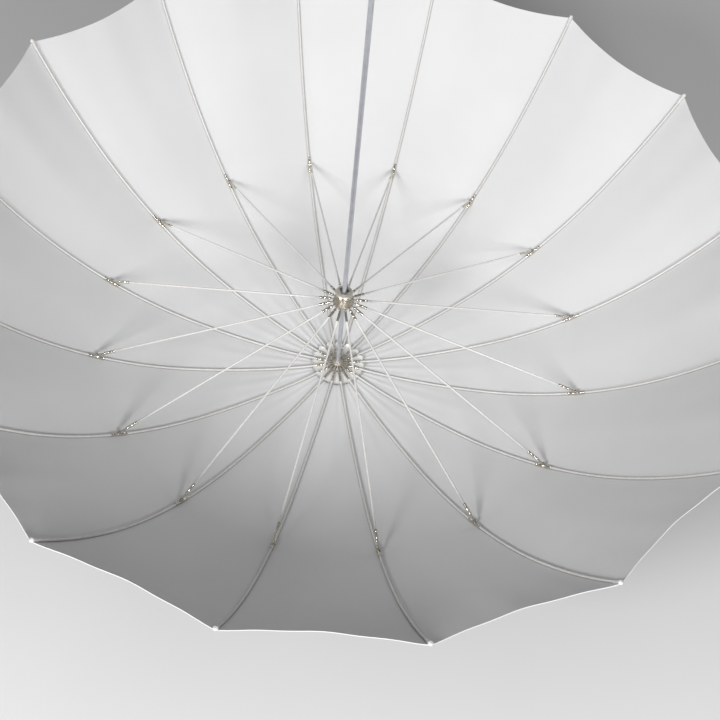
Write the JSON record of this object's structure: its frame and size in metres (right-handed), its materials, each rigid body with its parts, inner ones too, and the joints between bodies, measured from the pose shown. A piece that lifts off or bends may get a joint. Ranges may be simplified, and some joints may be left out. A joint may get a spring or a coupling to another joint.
{
  "type": "umbrella reflector",
  "caption": "Deep white photo umbrella on a plain metal shaft, shown open, with hinged ribs and stretchers that fold when its runner slides along the shaft.",
  "frame": {"origin": "bottom centre of the back cap, on the shaft's axis, under the crown", "axes": "+Z along the shaft from the crown to its free end, through the open side of the bowl; ribs lie at equal angles counted from +X"},
  "size_m": [1.3936, 1.3936, 1.0317],
  "materials": {
    "shaft_metal": "polished plated steel",
    "black_plastic": "moulded, satin",
    "hub_nickel": "warm nickel plate",
    "collar_nickel": "satin nickel top, polished side",
    "steel_wire": "drawn wire",
    "catch_steel": "spring steel",
    "white_patch": "die-cut white cloth patch",
    "white_cloth": "white matt woven cloth",
    "white_glassfibre": "smooth white glass-fibre rod"
  },
  "bodies": {
    "shaft": {"shaft_tube": "shaft_metal", "shaft_end_cap": "black_plastic", "stop_ring": "hub_nickel", "crown_hub": "hub_nickel", "crown_wire": "steel_wire", "rosette": "white_patch", "back_cap": "black_plastic", "canopy": "white_cloth"},
    "runner": {"runner_hub": "hub_nickel", "runner_collar": "collar_nickel", "runner_wire": "steel_wire"},
    "catch": {"catch_spring": "catch_steel"},
    "rib_inner_01": {"rib_inner_01": "white_glassfibre"},
    "rib_outer_01": {"rib_outer_01": "white_glassfibre"},
    "stretcher_01": {"stretcher_01": "white_glassfibre"},
    "rib_inner_02": {"rib_inner_02": "white_glassfibre"},
    "rib_outer_02": {"rib_outer_02": "white_glassfibre"},
    "stretcher_02": {"stretcher_02": "white_glassfibre"},
    "rib_inner_03": {"rib_inner_03": "white_glassfibre"},
    "rib_outer_03": {"rib_outer_03": "white_glassfibre"},
    "stretcher_03": {"stretcher_03": "white_glassfibre"},
    "rib_inner_04": {"rib_inner_04": "white_glassfibre"},
    "rib_outer_04": {"rib_outer_04": "white_glassfibre"},
    "stretcher_04": {"stretcher_04": "white_glassfibre"},
    "rib_inner_05": {"rib_inner_05": "white_glassfibre"},
    "rib_outer_05": {"rib_outer_05": "white_glassfibre"},
    "stretcher_05": {"stretcher_05": "white_glassfibre"},
    "rib_inner_06": {"rib_inner_06": "white_glassfibre"},
    "rib_outer_06": {"rib_outer_06": "white_glassfibre"},
    "stretcher_06": {"stretcher_06": "white_glassfibre"},
    "rib_inner_07": {"rib_inner_07": "white_glassfibre"},
    "rib_outer_07": {"rib_outer_07": "white_glassfibre"},
    "stretcher_07": {"stretcher_07": "white_glassfibre"},
    "rib_inner_08": {"rib_inner_08": "white_glassfibre"},
    "rib_outer_08": {"rib_outer_08": "white_glassfibre"},
    "stretcher_08": {"stretcher_08": "white_glassfibre"},
    "rib_inner_09": {"rib_inner_09": "white_glassfibre"},
    "rib_outer_09": {"rib_outer_09": "white_glassfibre"},
    "stretcher_09": {"stretcher_09": "white_glassfibre"},
    "rib_inner_10": {"rib_inner_10": "white_glassfibre"},
    "rib_outer_10": {"rib_outer_10": "white_glassfibre"},
    "stretcher_10": {"stretcher_10": "white_glassfibre"},
    "rib_inner_11": {"rib_inner_11": "white_glassfibre"},
    "rib_outer_11": {"rib_outer_11": "white_glassfibre"},
    "stretcher_11": {"stretcher_11": "white_glassfibre"},
    "rib_inner_12": {"rib_inner_12": "white_glassfibre"},
    "rib_outer_12": {"rib_outer_12": "white_glassfibre"},
    "stretcher_12": {"stretcher_12": "white_glassfibre"},
    "rib_inner_13": {"rib_inner_13": "white_glassfibre"},
    "rib_outer_13": {"rib_outer_13": "white_glassfibre"},
    "stretcher_13": {"stretcher_13": "white_glassfibre"},
    "rib_inner_14": {"rib_inner_14": "white_glassfibre"},
    "rib_outer_14": {"rib_outer_14": "white_glassfibre"},
    "stretcher_14": {"stretcher_14": "white_glassfibre"},
    "rib_inner_15": {"rib_inner_15": "white_glassfibre"},
    "rib_outer_15": {"rib_outer_15": "white_glassfibre"},
    "stretcher_15": {"stretcher_15": "white_glassfibre"},
    "rib_inner_16": {"rib_inner_16": "white_glassfibre"},
    "rib_outer_16": {"rib_outer_16": "white_glassfibre"},
    "stretcher_16": {"stretcher_16": "white_glassfibre"}
  },
  "joints": [
    {"name": "runner_slide", "type": "slide", "parent": "shaft", "child": "runner", "axis": [0, 0, 1], "range_m": [0, 0.64465], "deforming": ["canopy", "catch_spring"]},
    {"name": "catch_press", "type": "slide", "parent": "shaft", "child": "catch", "axis": [-1, 0, 0], "range_m": [0, 0.003], "stiffness_N_per_m": 700, "springref_m": -0.001},
    {"name": "rib_hinge_01", "type": "hinge", "parent": "shaft", "child": "rib_inner_01", "pos_m": [0.0155, 0, 0.024], "axis": [0, -1, 0], "range_deg": [0, 75]},
    {"name": "rib_flex_01", "type": "hinge", "parent": "rib_inner_01", "child": "rib_outer_01", "pos_m": [0.42335, 0, 0.10472], "axis": [0, -1, 0], "range_deg": [-28.3, 0]},
    {"name": "stretcher_hinge_01", "type": "hinge", "parent": "rib_inner_01", "child": "stretcher_01", "pos_m": [0.41945, 0, 0.10756], "axis": [0, -1, 0], "range_deg": [-148.26, 0]},
    {"name": "rib_hinge_02", "type": "hinge", "parent": "shaft", "child": "rib_inner_02", "pos_m": [0.01432, 0.00593, 0.024], "axis": [0.3827, -0.9239, 0], "range_deg": [0, 75]},
    {"name": "rib_flex_02", "type": "hinge", "parent": "rib_inner_02", "child": "rib_outer_02", "pos_m": [0.39113, 0.16201, 0.10472], "axis": [0.3827, -0.9239, 0], "range_deg": [-28.3, 0]},
    {"name": "stretcher_hinge_02", "type": "hinge", "parent": "rib_inner_02", "child": "stretcher_02", "pos_m": [0.38752, 0.16052, 0.10756], "axis": [0.3827, -0.9239, 0], "range_deg": [-148.26, 0]},
    {"name": "rib_hinge_03", "type": "hinge", "parent": "shaft", "child": "rib_inner_03", "pos_m": [0.01096, 0.01096, 0.024], "axis": [0.7071, -0.7071, 0], "range_deg": [0, 75]},
    {"name": "rib_flex_03", "type": "hinge", "parent": "rib_inner_03", "child": "rib_outer_03", "pos_m": [0.29936, 0.29936, 0.10472], "axis": [0.7071, -0.7071, 0], "range_deg": [-28.3, 0]},
    {"name": "stretcher_hinge_03", "type": "hinge", "parent": "rib_inner_03", "child": "stretcher_03", "pos_m": [0.29659, 0.29659, 0.10756], "axis": [0.7071, -0.7071, 0], "range_deg": [-148.26, 0]},
    {"name": "rib_hinge_04", "type": "hinge", "parent": "shaft", "child": "rib_inner_04", "pos_m": [0.00593, 0.01432, 0.024], "axis": [0.9239, -0.3827, 0], "range_deg": [0, 75]},
    {"name": "rib_flex_04", "type": "hinge", "parent": "rib_inner_04", "child": "rib_outer_04", "pos_m": [0.16201, 0.39113, 0.10472], "axis": [0.9239, -0.3827, 0], "range_deg": [-28.3, 0]},
    {"name": "stretcher_hinge_04", "type": "hinge", "parent": "rib_inner_04", "child": "stretcher_04", "pos_m": [0.16052, 0.38752, 0.10756], "axis": [0.9239, -0.3827, 0], "range_deg": [-148.26, 0]},
    {"name": "rib_hinge_05", "type": "hinge", "parent": "shaft", "child": "rib_inner_05", "pos_m": [0, 0.0155, 0.024], "axis": [1, 0, 0], "range_deg": [0, 75]},
    {"name": "rib_flex_05", "type": "hinge", "parent": "rib_inner_05", "child": "rib_outer_05", "pos_m": [0, 0.42335, 0.10472], "axis": [1, 0, 0], "range_deg": [-28.3, 0]},
    {"name": "stretcher_hinge_05", "type": "hinge", "parent": "rib_inner_05", "child": "stretcher_05", "pos_m": [0, 0.41945, 0.10756], "axis": [1, 0, 0], "range_deg": [-148.26, 0]},
    {"name": "rib_hinge_06", "type": "hinge", "parent": "shaft", "child": "rib_inner_06", "pos_m": [-0.00593, 0.01432, 0.024], "axis": [0.9239, 0.3827, 0], "range_deg": [0, 75]},
    {"name": "rib_flex_06", "type": "hinge", "parent": "rib_inner_06", "child": "rib_outer_06", "pos_m": [-0.16201, 0.39113, 0.10472], "axis": [0.9239, 0.3827, 0], "range_deg": [-28.3, 0]},
    {"name": "stretcher_hinge_06", "type": "hinge", "parent": "rib_inner_06", "child": "stretcher_06", "pos_m": [-0.16052, 0.38752, 0.10756], "axis": [0.9239, 0.3827, 0], "range_deg": [-148.26, 0]},
    {"name": "rib_hinge_07", "type": "hinge", "parent": "shaft", "child": "rib_inner_07", "pos_m": [-0.01096, 0.01096, 0.024], "axis": [0.7071, 0.7071, 0], "range_deg": [0, 75]},
    {"name": "rib_flex_07", "type": "hinge", "parent": "rib_inner_07", "child": "rib_outer_07", "pos_m": [-0.29936, 0.29936, 0.10472], "axis": [0.7071, 0.7071, 0], "range_deg": [-28.3, 0]},
    {"name": "stretcher_hinge_07", "type": "hinge", "parent": "rib_inner_07", "child": "stretcher_07", "pos_m": [-0.29659, 0.29659, 0.10756], "axis": [0.7071, 0.7071, 0], "range_deg": [-148.26, 0]},
    {"name": "rib_hinge_08", "type": "hinge", "parent": "shaft", "child": "rib_inner_08", "pos_m": [-0.01432, 0.00593, 0.024], "axis": [0.3827, 0.9239, 0], "range_deg": [0, 75]},
    {"name": "rib_flex_08", "type": "hinge", "parent": "rib_inner_08", "child": "rib_outer_08", "pos_m": [-0.39113, 0.16201, 0.10472], "axis": [0.3827, 0.9239, 0], "range_deg": [-28.3, 0]},
    {"name": "stretcher_hinge_08", "type": "hinge", "parent": "rib_inner_08", "child": "stretcher_08", "pos_m": [-0.38752, 0.16052, 0.10756], "axis": [0.3827, 0.9239, 0], "range_deg": [-148.26, 0]},
    {"name": "rib_hinge_09", "type": "hinge", "parent": "shaft", "child": "rib_inner_09", "pos_m": [-0.0155, 0, 0.024], "axis": [0, 1, 0], "range_deg": [0, 75]},
    {"name": "rib_flex_09", "type": "hinge", "parent": "rib_inner_09", "child": "rib_outer_09", "pos_m": [-0.42335, 0, 0.10472], "axis": [0, 1, 0], "range_deg": [-28.3, 0]},
    {"name": "stretcher_hinge_09", "type": "hinge", "parent": "rib_inner_09", "child": "stretcher_09", "pos_m": [-0.41945, 0, 0.10756], "axis": [0, 1, 0], "range_deg": [-148.26, 0]},
    {"name": "rib_hinge_10", "type": "hinge", "parent": "shaft", "child": "rib_inner_10", "pos_m": [-0.01432, -0.00593, 0.024], "axis": [-0.3827, 0.9239, 0], "range_deg": [0, 75]},
    {"name": "rib_flex_10", "type": "hinge", "parent": "rib_inner_10", "child": "rib_outer_10", "pos_m": [-0.39113, -0.16201, 0.10472], "axis": [-0.3827, 0.9239, 0], "range_deg": [-28.3, 0]},
    {"name": "stretcher_hinge_10", "type": "hinge", "parent": "rib_inner_10", "child": "stretcher_10", "pos_m": [-0.38752, -0.16052, 0.10756], "axis": [-0.3827, 0.9239, 0], "range_deg": [-148.26, 0]},
    {"name": "rib_hinge_11", "type": "hinge", "parent": "shaft", "child": "rib_inner_11", "pos_m": [-0.01096, -0.01096, 0.024], "axis": [-0.7071, 0.7071, 0], "range_deg": [0, 75]},
    {"name": "rib_flex_11", "type": "hinge", "parent": "rib_inner_11", "child": "rib_outer_11", "pos_m": [-0.29936, -0.29936, 0.10472], "axis": [-0.7071, 0.7071, 0], "range_deg": [-28.3, 0]},
    {"name": "stretcher_hinge_11", "type": "hinge", "parent": "rib_inner_11", "child": "stretcher_11", "pos_m": [-0.29659, -0.29659, 0.10756], "axis": [-0.7071, 0.7071, 0], "range_deg": [-148.26, 0]},
    {"name": "rib_hinge_12", "type": "hinge", "parent": "shaft", "child": "rib_inner_12", "pos_m": [-0.00593, -0.01432, 0.024], "axis": [-0.9239, 0.3827, 0], "range_deg": [0, 75]},
    {"name": "rib_flex_12", "type": "hinge", "parent": "rib_inner_12", "child": "rib_outer_12", "pos_m": [-0.16201, -0.39113, 0.10472], "axis": [-0.9239, 0.3827, 0], "range_deg": [-28.3, 0]},
    {"name": "stretcher_hinge_12", "type": "hinge", "parent": "rib_inner_12", "child": "stretcher_12", "pos_m": [-0.16052, -0.38752, 0.10756], "axis": [-0.9239, 0.3827, 0], "range_deg": [-148.26, 0]},
    {"name": "rib_hinge_13", "type": "hinge", "parent": "shaft", "child": "rib_inner_13", "pos_m": [0, -0.0155, 0.024], "axis": [-1, 0, 0], "range_deg": [0, 75]},
    {"name": "rib_flex_13", "type": "hinge", "parent": "rib_inner_13", "child": "rib_outer_13", "pos_m": [0, -0.42335, 0.10472], "axis": [-1, 0, 0], "range_deg": [-28.3, 0]},
    {"name": "stretcher_hinge_13", "type": "hinge", "parent": "rib_inner_13", "child": "stretcher_13", "pos_m": [0, -0.41945, 0.10756], "axis": [-1, 0, 0], "range_deg": [-148.26, 0]},
    {"name": "rib_hinge_14", "type": "hinge", "parent": "shaft", "child": "rib_inner_14", "pos_m": [0.00593, -0.01432, 0.024], "axis": [-0.9239, -0.3827, 0], "range_deg": [0, 75]},
    {"name": "rib_flex_14", "type": "hinge", "parent": "rib_inner_14", "child": "rib_outer_14", "pos_m": [0.16201, -0.39113, 0.10472], "axis": [-0.9239, -0.3827, 0], "range_deg": [-28.3, 0]},
    {"name": "stretcher_hinge_14", "type": "hinge", "parent": "rib_inner_14", "child": "stretcher_14", "pos_m": [0.16052, -0.38752, 0.10756], "axis": [-0.9239, -0.3827, 0], "range_deg": [-148.26, 0]},
    {"name": "rib_hinge_15", "type": "hinge", "parent": "shaft", "child": "rib_inner_15", "pos_m": [0.01096, -0.01096, 0.024], "axis": [-0.7071, -0.7071, 0], "range_deg": [0, 75]},
    {"name": "rib_flex_15", "type": "hinge", "parent": "rib_inner_15", "child": "rib_outer_15", "pos_m": [0.29936, -0.29936, 0.10472], "axis": [-0.7071, -0.7071, 0], "range_deg": [-28.3, 0]},
    {"name": "stretcher_hinge_15", "type": "hinge", "parent": "rib_inner_15", "child": "stretcher_15", "pos_m": [0.29659, -0.29659, 0.10756], "axis": [-0.7071, -0.7071, 0], "range_deg": [-148.26, 0]},
    {"name": "rib_hinge_16", "type": "hinge", "parent": "shaft", "child": "rib_inner_16", "pos_m": [0.01432, -0.00593, 0.024], "axis": [-0.3827, -0.9239, 0], "range_deg": [0, 75]},
    {"name": "rib_flex_16", "type": "hinge", "parent": "rib_inner_16", "child": "rib_outer_16", "pos_m": [0.39113, -0.16201, 0.10472], "axis": [-0.3827, -0.9239, 0], "range_deg": [-28.3, 0]},
    {"name": "stretcher_hinge_16", "type": "hinge", "parent": "rib_inner_16", "child": "stretcher_16", "pos_m": [0.38752, -0.16052, 0.10756], "axis": [-0.3827, -0.9239, 0], "range_deg": [-148.26, 0]}
  ],
  "couplings": [
    {"joint": "rib_hinge_01", "follows": "runner_slide", "rad_per_m": 2.0306},
    {"joint": "rib_flex_01", "follows": "runner_slide", "rad_per_m": -0.76619},
    {"joint": "stretcher_hinge_01", "follows": "runner_slide", "rad_per_m": -4.0139},
    {"joint": "rib_hinge_02", "follows": "runner_slide", "rad_per_m": 2.0306},
    {"joint": "rib_flex_02", "follows": "runner_slide", "rad_per_m": -0.76619},
    {"joint": "stretcher_hinge_02", "follows": "runner_slide", "rad_per_m": -4.0139},
    {"joint": "rib_hinge_03", "follows": "runner_slide", "rad_per_m": 2.0306},
    {"joint": "rib_flex_03", "follows": "runner_slide", "rad_per_m": -0.76619},
    {"joint": "stretcher_hinge_03", "follows": "runner_slide", "rad_per_m": -4.0139},
    {"joint": "rib_hinge_04", "follows": "runner_slide", "rad_per_m": 2.0306},
    {"joint": "rib_flex_04", "follows": "runner_slide", "rad_per_m": -0.76619},
    {"joint": "stretcher_hinge_04", "follows": "runner_slide", "rad_per_m": -4.0139},
    {"joint": "rib_hinge_05", "follows": "runner_slide", "rad_per_m": 2.0306},
    {"joint": "rib_flex_05", "follows": "runner_slide", "rad_per_m": -0.76619},
    {"joint": "stretcher_hinge_05", "follows": "runner_slide", "rad_per_m": -4.0139},
    {"joint": "rib_hinge_06", "follows": "runner_slide", "rad_per_m": 2.0306},
    {"joint": "rib_flex_06", "follows": "runner_slide", "rad_per_m": -0.76619},
    {"joint": "stretcher_hinge_06", "follows": "runner_slide", "rad_per_m": -4.0139},
    {"joint": "rib_hinge_07", "follows": "runner_slide", "rad_per_m": 2.0306},
    {"joint": "rib_flex_07", "follows": "runner_slide", "rad_per_m": -0.76619},
    {"joint": "stretcher_hinge_07", "follows": "runner_slide", "rad_per_m": -4.0139},
    {"joint": "rib_hinge_08", "follows": "runner_slide", "rad_per_m": 2.0306},
    {"joint": "rib_flex_08", "follows": "runner_slide", "rad_per_m": -0.76619},
    {"joint": "stretcher_hinge_08", "follows": "runner_slide", "rad_per_m": -4.0139},
    {"joint": "rib_hinge_09", "follows": "runner_slide", "rad_per_m": 2.0306},
    {"joint": "rib_flex_09", "follows": "runner_slide", "rad_per_m": -0.76619},
    {"joint": "stretcher_hinge_09", "follows": "runner_slide", "rad_per_m": -4.0139},
    {"joint": "rib_hinge_10", "follows": "runner_slide", "rad_per_m": 2.0306},
    {"joint": "rib_flex_10", "follows": "runner_slide", "rad_per_m": -0.76619},
    {"joint": "stretcher_hinge_10", "follows": "runner_slide", "rad_per_m": -4.0139},
    {"joint": "rib_hinge_11", "follows": "runner_slide", "rad_per_m": 2.0306},
    {"joint": "rib_flex_11", "follows": "runner_slide", "rad_per_m": -0.76619},
    {"joint": "stretcher_hinge_11", "follows": "runner_slide", "rad_per_m": -4.0139},
    {"joint": "rib_hinge_12", "follows": "runner_slide", "rad_per_m": 2.0306},
    {"joint": "rib_flex_12", "follows": "runner_slide", "rad_per_m": -0.76619},
    {"joint": "stretcher_hinge_12", "follows": "runner_slide", "rad_per_m": -4.0139},
    {"joint": "rib_hinge_13", "follows": "runner_slide", "rad_per_m": 2.0306},
    {"joint": "rib_flex_13", "follows": "runner_slide", "rad_per_m": -0.76619},
    {"joint": "stretcher_hinge_13", "follows": "runner_slide", "rad_per_m": -4.0139},
    {"joint": "rib_hinge_14", "follows": "runner_slide", "rad_per_m": 2.0306},
    {"joint": "rib_flex_14", "follows": "runner_slide", "rad_per_m": -0.76619},
    {"joint": "stretcher_hinge_14", "follows": "runner_slide", "rad_per_m": -4.0139},
    {"joint": "rib_hinge_15", "follows": "runner_slide", "rad_per_m": 2.0306},
    {"joint": "rib_flex_15", "follows": "runner_slide", "rad_per_m": -0.76619},
    {"joint": "stretcher_hinge_15", "follows": "runner_slide", "rad_per_m": -4.0139},
    {"joint": "rib_hinge_16", "follows": "runner_slide", "rad_per_m": 2.0306},
    {"joint": "rib_flex_16", "follows": "runner_slide", "rad_per_m": -0.76619},
    {"joint": "stretcher_hinge_16", "follows": "runner_slide", "rad_per_m": -4.0139}
  ]
}
